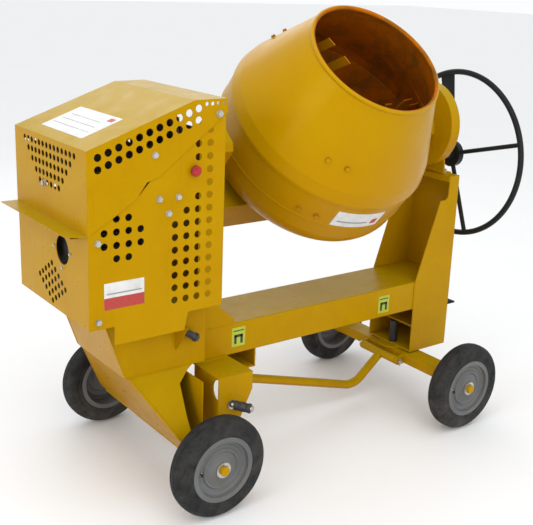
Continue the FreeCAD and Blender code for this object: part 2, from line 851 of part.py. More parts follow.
node(fuse("silencer_fuse", [silencer_can, silencer_pipe, silencer_tail]), "exhaust_silencer")


def pulley_outline(bore, outer, hub=34):
    """A pulley with a groove half way along its rim, in (radius, distance) pairs."""
    if outer - hub < 30:
        return [
            (bore, 0), (outer, 0), (outer, 5), (outer - 12, 9), (outer - 12, 21), (outer, 25),
            (outer, 30), (bore, 30),
        ]
    return [
        (bore, 0), (hub, 0), (hub, 9), (outer - 22, 9), (outer - 22, 0), (outer, 0), (outer, 5),
        (outer - 12, 9), (outer - 12, 21), (outer, 25), (outer, 30), (outer - 22, 30),
        (outer - 22, 21), (hub, 21), (hub, 30), (bore, 30),
    ]


pulley_x = -540
node(
    turned("drum_pulley_turned", pulley_outline(dim.shaft_radius, 150),
           (pulley_x, 0, dim.tilt_height), "x"),
    "drum_pulley",
)
node(
    fuse(
        "engine_pulley_fuse",
        [turned("engine_pulley_turned", pulley_outline(10, 55), (pulley_x, 0, crank_height), "x"),
         rod("crankshaft", 14, (-618, 0, crank_height), 112, "x")],
    ),
    "engine_pulley",
)
node(
    belt("v_belt", crank_height, 43.5, dim.tilt_height.value, 138.5, 9, pulley_x + 9.5, 11),
    "drive_belt",
)
upper_sprocket = rod("upper_sprocket", 28, (-312, 0, dim.tilt_height), 8, "x")
drive_rod = rod("drive_rod", dim.shaft_radius, (-560, 0, dim.tilt_height), 262, "x")
node(fuse("drive_shaft_fuse", [drive_rod, upper_sprocket]), "drive_shaft")

hose_root = rod("hose_root", 12, (-526, -198, 554), 28, "y")
hose = strut("hose", 12, (-526, -192, 554), (-493, -192, 532))
hose_end = doc.addObject("Part::Prism", "hose_end")
hose_end.Polygon = 6
hose_end.Circumradius = 15
hose_end.Height = 12
place(hose_end, (-493, -192, 532), Rotation(Vector(0, 0, 1), Vector(33, 0, -22)))
node(fuse("drain_hose_fuse", [hose_root, hose, hose_end]), "drain_hose")

# ---- cradle: carries the drum and turns with it about the tilt axis ----

depth = dim.cradle_depth
cradle_half = dim.cradle_half
arm_inner_x = dim.left_arm_x + dim.arm_box
beam_top_level = -240
wall = 4
arm_half = 64
left_arm_outline = [
    (-arm_half, -depth), (arm_half, -depth), (arm_half, 20), (arm_half - 20, 40),
    (20 - arm_half, 40), (-arm_half, 20),
]
left_arm = slab(
    "left_arm", "YZ", left_arm_outline, dim.arm_box, dim.left_arm_x, frame=CRADLE
)
left_arm_hollow = slab(
    "left_arm_hollow", "YZ",
    [(wall - arm_half, wall - depth), (arm_half - wall, wall - depth), (arm_half - wall, 18),
     (arm_half - 22, 36), (22 - arm_half, 36), (wall - arm_half, 18)],
    dim.arm_box - 2 * wall, dim.left_arm_x + wall, frame=CRADLE,
)
left_arm_bore = rod("left_arm_bore", 20, (-356, 0, 0), 20, "x", CRADLE)
left_arm_window = rod("left_arm_window", 17, (-276, 0, -305), 12, "x", CRADLE)
left_trunnion = sleeve(
    "left_trunnion", 30, dim.shaft_radius + dim.running_fit, (-440, 0, 0), 88, "x", CRADLE
)
left_arm_shell = cut(
    "left_arm_cut", left_arm, [left_arm_hollow, left_arm_bore, left_arm_window]
)
node(group("left_arm_with_trunnion", [left_arm_shell, left_trunnion]), "yoke_left_arm")

beam_length = dim.right_arm_x - arm_inner_x
beam_height = depth + beam_top_level
cross_beam = block(
    "cross_beam", (arm_inner_x, -cradle_half, -depth), (beam_length, 2 * cradle_half, beam_height),
    CRADLE,
)
cross_hollow = block(
    "cross_hollow", (arm_inner_x + wall, wall - cradle_half, wall - depth),
    (beam_length - 2 * wall, 2 * (cradle_half - wall), beam_height - 2 * wall), CRADLE,
)
beam_window = rod("beam_window", 17, (-272, 0, -305), 12, "x", CRADLE)
spindle_window = rod("spindle_window", 32, (dim.drum_x, 0, beam_top_level - 8), 16, "z", CRADLE)
node(
    cut("cross_beam_cut", cross_beam, [cross_hollow, beam_window, spindle_window]),
    "yoke_cross_beam",
)

node(
    slab(
        "right_arm", "YZ",
        [(-80, -345), (80, -345), (80, 30), (50, 60), (-50, 60), (-80, 30)],
        dim.gear_x - dim.right_arm_x, dim.right_arm_x, frame=CRADLE,
    ),
    "yoke_right_arm",
)

casing = block("gear_casing", (91, -80, -360), (160, 160, 110), CRADLE)
casing_hollow = block("gear_casing_hollow", (96, -75, -355), (150, 150, 100), CRADLE)
casing_windows = [
    rod("casing_side_window", 14 + dim.running_fit, (88, 0, -305), 12, "x", CRADLE),
    rod("casing_top_window", 27, (dim.drum_x, 0, -258), 12, "z", CRADLE),
]
node(cut("gearbox_cut", casing, [casing_hollow] + casing_windows), "gearbox_casing")

drive_pinion = turned(
    "drive_pinion", [(0, 0), (16, 0), (11, 8), (0, 8)], (101, 0, -305), "x", CRADLE
)
shaft_rod = rod("shaft_rod", 14, (-318, 0, -305), 419, "x", CRADLE)
lower_sprocket = rod("lower_sprocket", 48, (-312, 0, -305), 8, "x", CRADLE)
node(fuse("input_shaft_fuse", [shaft_rod, drive_pinion, lower_sprocket]), "input_shaft")
node(belt("chain_loop", -305, 48.4, 0, 28.4, 5, -311.5, 7, CRADLE), "drive_chain")

spindle = dim.spindle_radius
node(
    turned(
        "crown_wheel_turned",
        [(spindle, -340), (40, -340), (40, -330), (56, -330), (50, -324), (spindle, -324)],
        (dim.drum_x, 0, 0), frame=CRADLE,
    ),
    "crown_wheel",
)
node(
    flanged_bearing(
        "drum_housing", spindle + dim.running_fit, 64, 48, 8, 14,
        (dim.drum_x, 0, beam_top_level), "z", CRADLE,
    ),
    "drum_bearing",
)

# ---- tilting gear ----

TOOTH_PITCH = 3.5
PRESSURE = math.radians(20)


def involute(angle):
    return math.tan(angle) - angle


def gear_outline(teeth, tip, root, gain, first):
    """The outline of a spur gear. Gain widens each tooth at the pitch circle."""
    pitch = TOOTH_PITCH * teeth / 2
    base = pitch * math.cos(PRESSURE)
    half_pitch = math.pi / (2 * teeth) + gain / (2 * pitch)
    levels = [root + (tip - root) * step / 3 for step in range(4)]
    points = []
    for tooth in range(teeth):
        centre = first + 2 * math.pi * tooth / teeth
        flank = []
        for level in levels:
            lean = math.acos(min(1, base / level))
            flank.append((level, half_pitch + involute(PRESSURE) - involute(lean)))
        for level, half in flank:
            points.append((level, centre - half))
        for level, half in reversed(flank):
            points.append((level, centre + half))
    return points


def gear_blank(name, points, start, width, height):
    """A gear cut from its outline and made solid along the tilt axis."""
    corners = [Vector(0, r * math.cos(a), r * math.sin(a)) for r, a in points]
    face = doc.addObject("Part::Feature", name + "_outline")
    face.Shape = Part.Face(Part.makePolygon(corners + corners[:1]))
    place(face, (start, 0, height))
    solid = doc.addObject("Part::Extrusion", name)
    solid.Base = face
    solid.DirMode = "Custom"
    solid.Dir = Vector(1, 0, 0)
    solid.LengthFwd = width
    solid.Solid = True
    return solid


pan_blank = rod("pan_blank", dim.gear_rim, (dim.gear_x, 0, dim.tilt_height), dim.gear_depth, "x")
pan_hollow = gear_blank(
    "pan_hollow", gear_outline(88, 158.4, 152.4, 0.2, -math.pi / 2), 671, 45, dim.tilt_height
)
trunnion_boss = rod("trunnion_boss", 36, (670, 0, dim.tilt_height), 20, "x")
trunnion_stub = rod("trunnion_stub", dim.trunnion_radius, (670, 0, dim.tilt_height), 98, "x")
node(
    fuse("gear_pan_fuse", [cut("pan_cut", pan_blank, [pan_hollow]), trunnion_boss, trunnion_stub]),
    "tilt_ring_gear",
)
pinion_teeth = gear_blank(
    "pinion_teeth", gear_outline(10, 20.9, 15.4, -0.35, -math.pi / 2), 678, 26, pinion_height
)
pinion_rod = rod("pinion_rod", dim.pinion_shaft, (674, 0, pinion_height), 210, "x")
node(fuse("pinion_fuse", [pinion_teeth, pinion_rod]), "handwheel_pinion")

hub_front = 850
rim = hoop(
    "handwheel_rim", dim.handwheel_radius, dim.handwheel_tube,
    (dim.handwheel_x, 0, pinion_height), ALONG["x"],
)


def wheel_spot(x, radius, turn):
    across = radius * math.cos(math.radians(turn))
    up = pinion_height.value + radius * math.sin(math.radians(turn))
    return (x, across, up)


spokes = [
    strut(f"spoke_{turn}", 9, wheel_spot(hub_front + 12, 40, turn), wheel_spot(887, 326, turn))
    for turn in (165, 255, 345)
]
flat_spoke = slab(
    "flat_spoke", "XY",
    [(30, -14), (322, -35), (327, -20), (329, 0), (327, 20), (322, 35), (30, 14)],
    6, 0,
)
flat_lean = math.degrees(math.atan2(dim.handwheel_x.value - hub_front - 15, 300))
flat_turn = Rotation(Vector(1, 0, 0), 75) * Rotation(Vector(0, 0, 1), 90 - flat_lean)
flat_turn = flat_turn * Rotation(Vector(1, 0, 0), 90)
place(flat_spoke, (hub_front + 10, 0, pinion_height), flat_turn)
hub = turned(
    "hub_turned",
    [(dim.pinion_shaft, -8), (24, -8), (24, 0), (52, 0), (52, 26), (46, 30), (dim.pinion_shaft, 30)],
    (hub_front, 0, pinion_height), "x",
)
hub_bore = rod("hub_bore", dim.pinion_shaft, (hub_front - 20, 0, pinion_height), 70, "x")
node(cut("handwheel_cut", fuse("handwheel_fuse", [rim, flat_spoke, hub] + spokes), [hub_bore]),
     "handwheel")

pedal_hub = rod("pedal_hub", 11, (pedal_pivot[0], -60.5, pedal_pivot[1]), 61, "y")
pedal_pin = rod("pedal_pin", 6, (pedal_pivot[0], -70, pedal_pivot[1]), 80, "y")
pedal_arm = block("pedal_arm", (812, -46, 346), (60, 32, 12))
pedal_tread = block("pedal_tread", (846, -60, 352), (52, 60, 7))
pedal_ribs = [
    block(f"pedal_rib_{number}", (850 + 12 * number, -60, 359), (5, 60, 3)) for number in range(4)
]
node(
    fuse("foot_pedal_fuse", [pedal_hub, pedal_pin, pedal_arm, pedal_tread] + pedal_ribs),
    "foot_pedal",
)

# ---- drum ----

sheet_3 = dim.drum_sheet
band_radius = dim.belly_radius - sheet_3
wrap_level = dim.seam_level + 11
base_shell = turned(
    "base_shell",
    [
        (band_radius, wrap_level), (band_radius, -58), (band_radius + 1.5, -60),
        (band_radius + 1.5, -64), (band_radius - 0.5, -66), (band_radius - 1, -120),
        (275, -dim.drum_floor, (353, -187)), (0, -dim.drum_floor), (0, sheet_3 - dim.drum_floor),
        (274, sheet_3 - dim.drum_floor), (band_radius - 1 - sheet_3, -120, (350.6, -184.6)),
        (band_radius - sheet_3, -62), (band_radius - sheet_3, wrap_level),
    ],
    (dim.drum_x, 0, 0), frame=CRADLE,
)
node(base_shell, "drum_base")

cone_start = wrap_level + 1
mouth_level, mouth_radius = dim.mouth_level, dim.mouth_radius
cone_shell = turned(
    "cone_shell",
    [
        (band_radius, dim.seam_level), (dim.belly_radius, dim.seam_level),
        (dim.belly_radius, cone_start), (376, 105), (mouth_radius + 2, mouth_level),
        (mouth_radius - 1, mouth_level), (373, 105), (band_radius, cone_start),
    ],
    (dim.drum_x, 0, 0), frame=CRADLE,
)
mouth_bead = hoop(
    "mouth_bead", mouth_radius, dim.bead_radius, (dim.drum_x, 0, mouth_level), frame=CRADLE
)
node(fuse("drum_cone_fuse", [cone_shell, mouth_bead]), "drum_cone")

blade_root = [(262, -10), (290, -55), (362, -55), (381.5, -40), (381.5, 55), (370.5, 105)]
short_blade = blade_root + [
    (333, 179), (329, 177), (290, 157), (284, 197), (253, 184), (240, 118), (220, 118), (212, 164),
    (185, 158), (200, 90),
]
forked_blade = blade_root + [
    (333, 179), (300, 164), (262, 140), (235, 196), (177, 312), (143, 309), (201, 193),
    (153, 186), (95, 302), (63, 296), (130, 160), (200, 60),
]
blades = []
blade_bolts = []
foot_seats = [(-28, 380.0, 0), (179, 331.8, 26.4)]
for number, (turn, outline) in enumerate(
    [(-127, short_blade), (-7, short_blade), (113, forked_blade)]
):
    lean = Rotation(Vector(0, 0, 1), turn)
    plate = slab(f"blade_plate_{number}", "XZ", outline, 5, 0)
    place(plate, (dim.drum_x, 0, 0), lean, CRADLE)
    pieces = [plate]
    spin = math.radians(turn)
    for level, reach, slope in foot_seats:
        foot = block(f"blade_foot_{number}_{level + 28}", (0, 0, 0), (4, 88, 34))
        slant = Rotation(Vector(0, 1, 0), -slope)
        shift = (lean * slant).multVec(Vector(-4, -44, -17))
        place(
            foot,
            (dim.drum_x + reach * math.cos(spin) + shift.x, reach * math.sin(spin) + shift.y,
             level + shift.z),
            lean * slant, CRADLE,
        )
        pieces.append(foot)
    blades.append(fuse(f"blade_{number}", pieces))
    for level, spread, radius in ((-28, 5, 386), (179, 6, 339.6)):
        for side in (-1, 1):
            spin = math.radians(turn + side * spread)
            out = (math.cos(spin), math.sin(spin), 0 if level < 0 else 0.496)
            start = (
                dim.drum_x + (radius + 1.2) * math.cos(spin), (radius + 1.2) * math.sin(spin),
                level,
            )
            blade_bolts.append(
                hex_bolt(f"blade_bolt_{number}_{level + 28}_{side + 1}", 8, start, out, CRADLE)
            )
node(group("blade_group", blades), "mixing_blades")
node(group("blade_bolt_group", blade_bolts), "blade_bolts")
node(
    turned(
        "spindle_turned",
        [(0, -350), (spindle, -350), (spindle, -224), (90, -224), (90, -dim.drum_floor),
         (0, -dim.drum_floor)],
        (dim.drum_x, 0, 0), frame=CRADLE,
    ),
    "drum_spindle",
)

# ---- steered front axle and drawbar ----

swivel_x = dim.swivel_x
axle_height = dim.axle_height
front_box = block(
    "front_box", (swivel_x - 42, -axle_box_half, axle_height), (80, 2 * axle_box_half, 40)
)
front_hollow = block(
    "front_hollow", (swivel_x - 37, -320, axle_height - 20), (70, 640, 55)
)
stubs, pin_holes = axle_ends("front", swivel_x)
front_bar = rod("front_bar", 15, (swivel_x, -320, axle_height), 640, "y")
lugs = [
    slab(
        f"drawbar_lug_{side}", "XZ",
        [(566, 164), (566, 204), (540, 197), (524, 180, (528, 191)), (540, 163, (528, 168))],
        8, offset, holes=[(540, 180, 8)],
    )
    for side, offset in (("near", -108), ("far", 100))
]
node(
    cut(
        "front_axle_cut",
        fuse(
            "front_axle_fuse",
            [cut("front_channel", front_box, [front_hollow]), front_bar] + stubs + lugs,
        ),
        pin_holes,
    ),
    "swivel_axle",
)
node(rod("king_pin_rod", 17, (swivel_x, 0, axle_height + 40), 101), "king_pin")
node(
    sleeve("turntable", 60, 17, (swivel_x, 0, axle_height + 40), 5.6), "turntable_washer"
)
node(wheel_retainers("front_retainers", swivel_x), "front_wheel_retainers")

hinge_x, hinge_z = 540, 180
bend_x, bend_z = 400, 66
tail_x, tail_z = -228, 253
bend_tangent = 48
first_run = math.hypot(bend_x - hinge_x, bend_z - hinge_z)
second_run = math.hypot(tail_x - bend_x, tail_z - bend_z)
bend_in = (
    bend_x + (hinge_x - bend_x) * bend_tangent / first_run,
    bend_z + (hinge_z - bend_z) * bend_tangent / first_run,
)
bend_out = (
    bend_x + (tail_x - bend_x) * bend_tangent / second_run,
    bend_z + (tail_z - bend_z) * bend_tangent / second_run,
)
bisector = Vector(
    (bend_in[0] - bend_x + bend_out[0] - bend_x), (bend_in[1] - bend_z + bend_out[1] - bend_z), 0
)
half_bend = math.acos(bisector.Length / (2 * bend_tangent))
reach = bend_tangent / math.cos(half_bend) - bend_tangent * math.tan(half_bend)
middle = (
    bend_x + bisector.x / bisector.Length * reach, bend_z + bisector.y / bisector.Length * reach
)
path = doc.addObject("Sketcher::SketchObject", "drawbar_path")
path.addGeometry(Part.LineSegment(Vector(hinge_x, hinge_z, 0), Vector(*bend_in, 0)), False)
path.addGeometry(
    arc_through(Vector(*bend_in, 0), Vector(*middle, 0), Vector(*bend_out, 0)), False
)
path.addGeometry(Part.LineSegment(Vector(*bend_out, 0), Vector(tail_x, tail_z, 0)), False)
place(path, (0, 0, 0), Rotation(Vector(1, 0, 0), 90))
section = doc.addObject("Part::Circle", "drawbar_section")
section.Radius = 17
place(
    section, (hinge_x, 0, hinge_z),
    Rotation(Vector(0, 0, 1), Vector(bend_x - hinge_x, 0, bend_z - hinge_z)),
)
bar = doc.addObject("Part::Sweep", "drawbar_bar")
bar.Sections = [section]
bar.Spine = (path, ["Edge1", "Edge2", "Edge3"])
bar.Solid = True
bar.Frenet = False
tail_lean = math.degrees(math.atan2(tail_z - bend_z, bend_x - tail_x))
eye = hoop(
    "tow_eye", 24, 11, (-250, 0, 259.5), Rotation(Vector(0, 1, 0), tail_lean)
)
cross_tube = rod("cross_tube", 17, (hinge_x, -98, hinge_z), 196, "y")
cross_bore = rod("cross_bore", 8 + dim.running_fit, (hinge_x, -110, hinge_z), 220, "y")
node(cut("drawbar_cut", fuse("drawbar_fuse", [bar, eye, cross_tube]), [cross_bore]), "drawbar")
pin_shank = rod("pin_shank", 8, (hinge_x, -122, hinge_z), 238, "y")
pin_head = rod("pin_head", 13, (hinge_x, 108.5, hinge_z), 7, "y")
pin_clip = rod("pin_clip", 2.5, (hinge_x, -116, hinge_z - 18), 34)
node(fuse("drawbar_pin_fuse", [pin_shank, pin_head, pin_clip]), "drawbar_pin")

# ---- wheels ----

bore = dim.axle_radius + dim.running_fit
hub_half = dim.hub_half
rim_radius = dim.rim_radius
tyre_half = dim.tyre_width * 0.5
wheel_radius = dim.wheel_radius
tread_fillet = 22
tread_bite = tread_fillet * (1 - math.sqrt(0.5))
tyre_outline = [
    (98, -30), (98, 30), (rim_radius, 30), (rim_radius, tyre_half),
    (wheel_radius - tread_fillet, tyre_half),
    (wheel_radius, tyre_half - tread_fillet, (wheel_radius - tread_bite, tyre_half - tread_bite)),
    (wheel_radius, tread_fillet - tyre_half),
    (wheel_radius - tread_fillet, -tyre_half,
     (wheel_radius - tread_bite, tread_bite - tyre_half)),
    (rim_radius, -tyre_half), (rim_radius, -30),
]
rim_outline = [
    (bore, -hub_half), (dim.hub_radius, -hub_half), (dim.hub_radius, 16), (36, 21), (50, 16),
    (56, 16), (61, 21), (65, 21), (71, 16), (79, 16), (86, 21), (94, 21), (94, -34.5),
    (rim_radius, -34.5), (rim_radius, -30), (98, -30), (98, 30), (rim_radius, 30),
    (rim_radius, 34.5), (94, 34.5), (94, 25), (85, 25), (80, 20), (70, 20), (66, 25), (60, 25),
    (56, 20), (50, 20), (36, 25), (dim.hub_radius, hub_half), (bore, hub_half),
]
wheel_spots = {
    "rear_near": (dim.rear_axle_x, -1), "rear_far": (dim.rear_axle_x, 1),
    "front_near": (swivel_x, -1), "front_far": (swivel_x, 1),
}
for label, (x, side) in wheel_spots.items():
    outward = Rotation(Vector(0, 0, 1), Vector(0, side, 0))
    centre = (x, side * dim.wheel_track, axle_height)
    tyre = turned(f"tyre_turned_{label}", tyre_outline, centre)
    place(tyre, centre, outward)
    node(tyre, f"tyre_{label}")
    disc = turned(f"rim_turned_{label}", rim_outline, centre)
    place(disc, centre, outward)
    valve_low = 0 if side > 0 else -1
    valve = rod(
        f"valve_hole_{label}", 6, (x - 75, side * dim.wheel_track + valve_low * 40, axle_height),
        40, "y",
    )
    node(cut(f"rim_cut_{label}", disc, [valve]), f"rim_{label}")

# ---- check and write ----

doc.recompute()
for thing in doc.Objects:
    faults = [state for state in thing.State if state in ("Invalid", "Error")]
    if faults:
        raise RuntimeError(f"{thing.Name}: {thing.State}")
os.makedirs("parts", exist_ok=True)
whole = FreeCAD.BoundBox()
for thing in nodes:
    shape = thing.Shape
    if shape.isNull() or not shape.isValid() or not shape.Solids:
        raise RuntimeError(f"{thing.Label}: the shape is not a valid solid")
    shape.exportStep(f"parts/{thing.Label}.step")
    whole.add(shape.BoundBox)
    print(f"{thing.Label}: {len(shape.Solids)} solid(s), {shape.Volume / 1000:.1f} cm3")
print("nodes", len(nodes), "box", whole)
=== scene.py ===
import bpy
import bmesh
import json
import math
import random
from mathutils import Matrix, Vector


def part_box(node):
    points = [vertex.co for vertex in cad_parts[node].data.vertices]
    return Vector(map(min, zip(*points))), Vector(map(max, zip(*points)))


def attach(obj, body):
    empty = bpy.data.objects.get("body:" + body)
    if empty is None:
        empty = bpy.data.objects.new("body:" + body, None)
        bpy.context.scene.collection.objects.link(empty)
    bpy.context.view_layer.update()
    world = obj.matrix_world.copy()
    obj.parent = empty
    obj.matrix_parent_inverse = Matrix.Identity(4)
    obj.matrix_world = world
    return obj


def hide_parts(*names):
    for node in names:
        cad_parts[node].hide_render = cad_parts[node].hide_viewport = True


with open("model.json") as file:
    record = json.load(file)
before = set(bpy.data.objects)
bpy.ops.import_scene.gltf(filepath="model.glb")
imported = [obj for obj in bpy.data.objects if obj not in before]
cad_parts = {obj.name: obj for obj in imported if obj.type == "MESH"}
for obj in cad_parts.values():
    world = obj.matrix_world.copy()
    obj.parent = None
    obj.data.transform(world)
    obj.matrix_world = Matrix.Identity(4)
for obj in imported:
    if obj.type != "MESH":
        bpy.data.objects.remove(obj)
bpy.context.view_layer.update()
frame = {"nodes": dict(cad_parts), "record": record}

NODES = frame["nodes"]
X_AXIS, Y_AXIS, Z_AXIS = Vector((1, 0, 0)), Vector((0, 1, 0)), Vector((0, 0, 1))

# ---------------------------------------------------------------- materials


class Graph:
    """A node material under construction."""

    def __init__(self, name):
        self.material = bpy.data.materials.new(name)
        self.material.use_nodes = True
        self.tree = self.material.node_tree
        self.tree.nodes.clear()
        output = self.tree.nodes.new("ShaderNodeOutputMaterial")
        self.shader = self.tree.nodes.new("ShaderNodeBsdfPrincipled")
        self.tree.links.new(self.shader.outputs[0], output.inputs["Surface"])
        coordinates = self.add("ShaderNodeTexCoord")
        self.place = coordinates.outputs["Object"]
        self.normal = coordinates.outputs["Normal"]

    def add(self, kind, **settings):
        node = self.tree.nodes.new(kind)
        for key, setting in settings.items():
            setattr(node, key, setting)
        return node

    def feed(self, socket, source):
        if isinstance(source, bpy.types.NodeSocket):
            self.tree.links.new(source, socket)
        else:
            socket.default_value = source

    def set(self, name, source):
        self.feed(self.shader.inputs[name], source)

    def noise(self, scale, detail=4.0, roughness=0.55, distortion=0.0, stretch=None):
        node = self.add("ShaderNodeTexNoise")
        place = self.place
        if stretch:
            mapping = self.add("ShaderNodeMapping")
            self.feed(mapping.inputs["Vector"], self.place)
            mapping.inputs["Scale"].default_value = stretch
            place = mapping.outputs[0]
        self.feed(node.inputs["Vector"], place)
        node.inputs["Scale"].default_value = scale
        node.inputs["Detail"].default_value = detail
        node.inputs["Roughness"].default_value = roughness
        node.inputs["Distortion"].default_value = distortion
        return node.outputs["Fac"]

    def ramp(self, source, low, high, start=0.0, end=1.0):
        node = self.add("ShaderNodeMapRange")
        node.inputs["From Min"].default_value = low
        node.inputs["From Max"].default_value = high
        node.inputs["To Min"].default_value = start
        node.inputs["To Max"].default_value = end
        self.feed(node.inputs["Value"], source)
        return node.outputs["Result"]

    def math(self, operation, first, second=0.0):
        node = self.add("ShaderNodeMath", operation=operation)
        self.feed(node.inputs[0], first)
        self.feed(node.inputs[1], second)
        return node.outputs[0]

    def vector(self, operation, first, second=(0.0, 0.0, 0.0), output="Vector"):
        node = self.add("ShaderNodeVectorMath", operation=operation)
        self.feed(node.inputs[0], first)
        if operation == "SCALE":
            self.feed(node.inputs["Scale"], second)
        elif operation != "NORMALIZE":
            self.feed(node.inputs[1], second)
        return node.outputs[output]

    def facing_axis(self, centre, axis):
        """1 on faces that look towards an axis, 0 on faces that look away from it."""
        offset = self.vector("SUBTRACT", self.place, tuple(centre))
        along = self.vector("DOT_PRODUCT", offset, tuple(axis), "Value")
        outward = self.vector("SUBTRACT", offset, self.vector("SCALE", tuple(axis), along))
        outward = self.vector("NORMALIZE", outward)
        return self.ramp(self.vector("DOT_PRODUCT", outward, self.normal, "Value"), 0.25, -0.25)

    def mix(self, amount, first, second):
        node = self.add("ShaderNodeMix", data_type="RGBA")
        self.feed(node.inputs["Factor"], amount)
        for socket, colour in ((node.inputs[6], first), (node.inputs[7], second)):
            linked = isinstance(colour, bpy.types.NodeSocket)
            self.feed(socket, colour if linked else (*colour, 1.0))
        return node.outputs[2]

    def split(self, vector):
        node = self.add("ShaderNodeSeparateXYZ")
        self.feed(node.inputs[0], vector)
        return node.outputs

    def round_normal(self, radius):
        node = self.add("ShaderNodeBevel", samples=4)
        node.inputs["Radius"].default_value = radius
        return node.outputs["Normal"]

    def edge_mask(self, radius):
        """1 on the sharp edges of the shape, 0 on its faces."""
        geometry = self.add("ShaderNodeNewGeometry")
        node = self.add("ShaderNodeVectorMath", operation="DOT_PRODUCT")
        self.feed(node.inputs[0], self.round_normal(radius))
        self.feed(node.inputs[1], geometry.outputs["Normal"])
        return self.ramp(node.outputs["Value"], 0.995, 0.85)

    def bump(self, height, distance, strength=1.0, normal=None):
        node = self.add("ShaderNodeBump")
        node.inputs["Distance"].default_value = distance
        node.inputs["Strength"].default_value = strength
        self.feed(node.inputs["Height"], height)
        if normal is not None:
            self.feed(node.inputs["Normal"], normal)
        self.set("Normal", node.outputs[0])
        return node.outputs[0]


RUST = (0.10, 0.04, 0.02)
YELLOW_DUST = (0.20, 0.115, 0.015)
PLAIN_GLOSS = (1.0, 1.0, 1.0, 1.0)
YELLOW_GLOSS = (1.0, 0.72, 0.10, 1.0)


def paint(name, colour, deep, above=None, painted_shade=None, shine=PLAIN_GLOSS, dust=YELLOW_DUST,
          dustiness=0.3, gloss=0.3, rust=0.5, edge=0.0016, ground=0.7):
    """Sprayed machine paint: orange peel, dust low down and on top faces, chips at the edges.

    Faces turned up get a greener painted top light, and faces turned down a deeper painted shade.
    Splashed dust starts under the height ground; edge is the width of the chipped edges, in
    metres.
    """
    g = Graph(name)
    height = g.split(g.place)[2]
    upward = g.split(g.normal)[2]
    cloud = g.noise(5.0, 5.0, 0.6, 0.6)
    tone = g.mix(g.ramp(cloud, 0.3, 0.7), colour, deep)
    # Painted top light: faces turned up take a greener colour.
    tone = g.mix(g.ramp(upward, 0.2, 0.85), tone, above or colour)
    # Painted shade: faces turned down take a deeper colour, deep when none is given.
    tone = g.mix(g.ramp(upward, -0.1, -0.6), tone, painted_shade or deep)
    low = g.ramp(height, ground, 0.05)
    splash = g.math("MULTIPLY", low, g.ramp(g.noise(14.0, 8.0, 0.7, 0.8), 0.46, 0.74))
    patches = g.ramp(g.noise(22.0, 6.0, 0.65), 0.45, 0.75)
    settled = g.math("MULTIPLY", g.ramp(upward, 0.6, 1.0), patches)
    dirt = g.math("ADD", splash, g.math("MULTIPLY", settled, 0.25))
    dirt = g.math("MINIMUM", g.math("MULTIPLY", dirt, dustiness), 0.7)
    tone = g.mix(dirt, tone, dust)
    streak = g.ramp(g.noise(9.0, 6.0, 0.7, 0.3, (3.0, 3.0, 0.5)), 0.58, 0.8)
    tone = g.mix(g.math("MULTIPLY", streak, 0.25), tone, tuple(0.4 * c for c in deep))
    worn = g.math("MULTIPLY", g.edge_mask(edge), g.ramp(g.noise(60.0, 6.0, 0.7), 0.5, 0.68))
    speck = g.ramp(g.noise(130.0, 3.0, 0.5), 0.72, 0.76)
    speck = g.math("MULTIPLY", speck, g.ramp(g.noise(7.0, 2.0), 0.52, 0.62))
    chips = g.math("ADD", g.math("MULTIPLY", worn, 0.75), speck)
    chips = g.math("MINIMUM", g.math("MULTIPLY", chips, rust), 1.0)
    tone = g.mix(chips, tone, RUST)
    g.set("Base Color", tone)
    sheen = g.ramp(g.noise(18.0, 5.0), 0.3, 0.7, gloss - 0.05, gloss + 0.1)
    dull = g.math("MULTIPLY", g.math("MAXIMUM", dirt, chips), 0.45)
    g.set("Roughness", g.math("ADD", sheen, dull))
    g.set("Specular IOR Level", 0.1)
    g.set("Specular Tint", shine)
    g.set("Coat Weight", 0.03)
    g.set("Coat Roughness", 0.12)
    peel = g.math("ADD", g.math("MULTIPLY", g.noise(420.0, 2.0), 0.25), g.noise(11.0, 2.0))
    peel = g.math("SUBTRACT", peel, g.math("MULTIPLY", chips, 0.6))
    g.bump(peel, 0.0007, 0.5, g.round_normal(0.0022))
    return g.material


def metal(name, colour, dark, roughness=0.35, metallic=1.0, rust=0.25, grain=(1.0, 1.0, 1.0)):
    """Plated or bare steel and cast iron."""
    g = Graph(name)
    tone = g.mix(g.ramp(g.noise(35.0, 6.0, 0.6), 0.35, 0.7), colour, dark)
    stain = g.math("MULTIPLY", g.ramp(g.noise(24.0, 7.0, 0.7, 1.0), 0.52, 0.72), rust)
    tone = g.mix(stain, tone, (0.19, 0.085, 0.04))
    g.set("Base Color", tone)
    g.set("Metallic", g.ramp(stain, 0.0, 0.8, metallic, 0.2))
    brushed = g.noise(90.0, 4.0, 0.5, 0.0, grain)
    rough = g.ramp(brushed, 0.3, 0.7, roughness - 0.07, roughness + 0.12)
    g.set("Roughness", g.math("ADD", rough, g.math("MULTIPLY", stain, 0.4)))
    g.bump(g.noise(240.0, 3.0, 0.6, 0.0, grain), 0.0004, 0.5, g.round_normal(0.0008))
    return g.material


